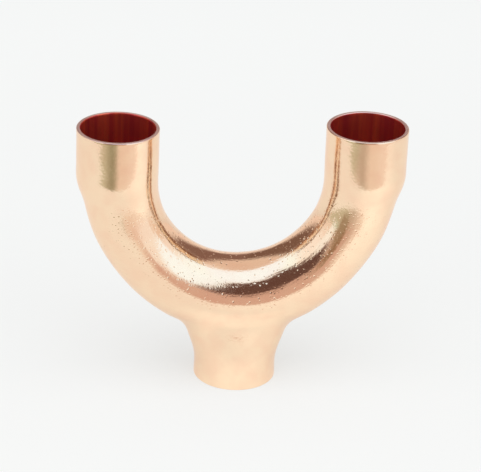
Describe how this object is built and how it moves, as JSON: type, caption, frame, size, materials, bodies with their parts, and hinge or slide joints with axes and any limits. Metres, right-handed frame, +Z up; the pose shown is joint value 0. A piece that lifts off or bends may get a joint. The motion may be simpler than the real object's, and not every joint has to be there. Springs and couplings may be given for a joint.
{
  "type": "tube y-fitting",
  "caption": "Copper U-shaped y-fitting for brazing: upright expanded tube sockets joined by a bend with a drawn branch under its crown.",
  "frame": {"origin": "centre of the branch mouth, at the foot of the fitting", "axes": "+Z up along the two upright sockets, +X from the left leg to the right leg, Y across the fitting"},
  "size_m": [0.0846, 0.0216, 0.0703],
  "materials": {
    "copper": "bright drawn copper"
  },
  "bodies": {
    "root": {"y_fitting": "copper"}
  },
  "joints": []
}
